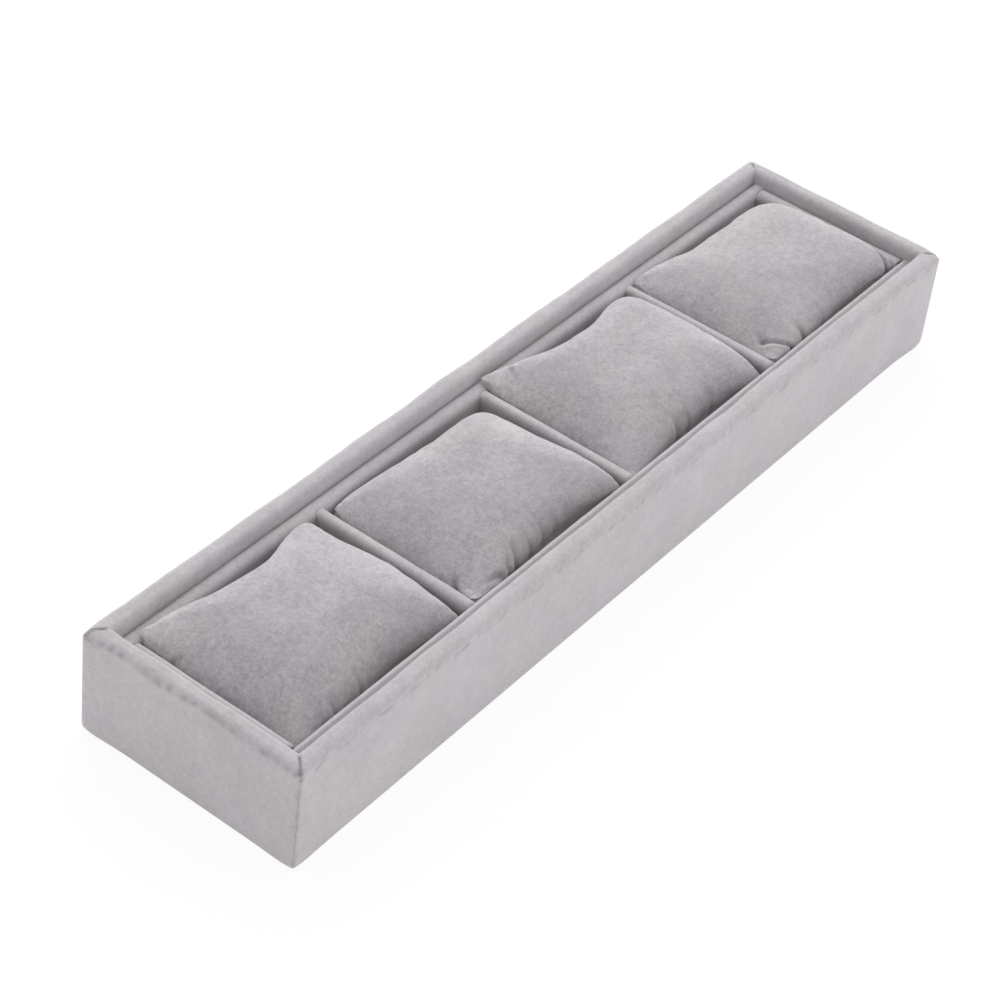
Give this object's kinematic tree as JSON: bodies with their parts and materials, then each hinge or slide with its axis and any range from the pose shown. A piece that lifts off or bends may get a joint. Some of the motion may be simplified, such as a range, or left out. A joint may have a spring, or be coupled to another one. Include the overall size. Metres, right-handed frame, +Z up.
{
  "type": "jewelry tray",
  "caption": "Long narrow velvet-wrapped jewelry tray with a stepped rim, lined compartments parted by thin dividers, and lift-out pillows that hold bracelets or watches.",
  "frame": {"origin": "centre of the underside, on the surface the tray stands on", "axes": "+X along the tray's length, +Y across it towards the rear, +Z up"},
  "size_m": [0.38, 0.09, 0.0446],
  "materials": {
    "velvet": "matte",
    "pillow_velvet": "matte",
    "underside_felt": "matte",
    "filling": "matte",
    "fibreboard": "matte",
    "card": "matte"
  },
  "bodies": {
    "tray": {"base_board": "fibreboard", "divider_1_board": "fibreboard", "divider_1_cover": "velvet", "divider_2_board": "fibreboard", "divider_2_cover": "velvet", "divider_3_board": "fibreboard", "divider_3_cover": "velvet", "floor_card": "card", "floor_velvet": "velvet", "front_liner_board": "fibreboard", "front_liner_cover": "velvet", "front_wall_board": "fibreboard", "front_wall_cover": "velvet", "left_end_board": "fibreboard", "left_end_cover": "velvet", "left_liner_board": "fibreboard", "left_liner_cover": "velvet", "rear_liner_board": "fibreboard", "rear_liner_cover": "velvet", "rear_wall_board": "fibreboard", "rear_wall_cover": "velvet", "right_end_board": "fibreboard", "right_end_cover": "velvet", "right_liner_board": "fibreboard", "right_liner_cover": "velvet", "underside_sheet": "underside_felt"},
    "pillow_1": {"pillow_1_top_panel": "pillow_velvet", "pillow_1_bottom_panel": "pillow_velvet", "pillow_1_filling": "filling"},
    "pillow_2": {"pillow_2_top_panel": "pillow_velvet", "pillow_2_bottom_panel": "pillow_velvet", "pillow_2_filling": "filling"},
    "pillow_3": {"pillow_3_top_panel": "pillow_velvet", "pillow_3_bottom_panel": "pillow_velvet", "pillow_3_filling": "filling"},
    "pillow_4": {"pillow_4_top_panel": "pillow_velvet", "pillow_4_bottom_panel": "pillow_velvet", "pillow_4_filling": "filling"}
  },
  "joints": [
    {"name": "pillow_1_lift", "type": "slide", "parent": "tray", "child": "pillow_1", "axis": [0, 0, 1], "range_m": [0, 0.06]},
    {"name": "pillow_2_lift", "type": "slide", "parent": "tray", "child": "pillow_2", "axis": [0, 0, 1], "range_m": [0, 0.06]},
    {"name": "pillow_3_lift", "type": "slide", "parent": "tray", "child": "pillow_3", "axis": [0, 0, 1], "range_m": [0, 0.06]},
    {"name": "pillow_4_lift", "type": "slide", "parent": "tray", "child": "pillow_4", "axis": [0, 0, 1], "range_m": [0, 0.06]}
  ]
}
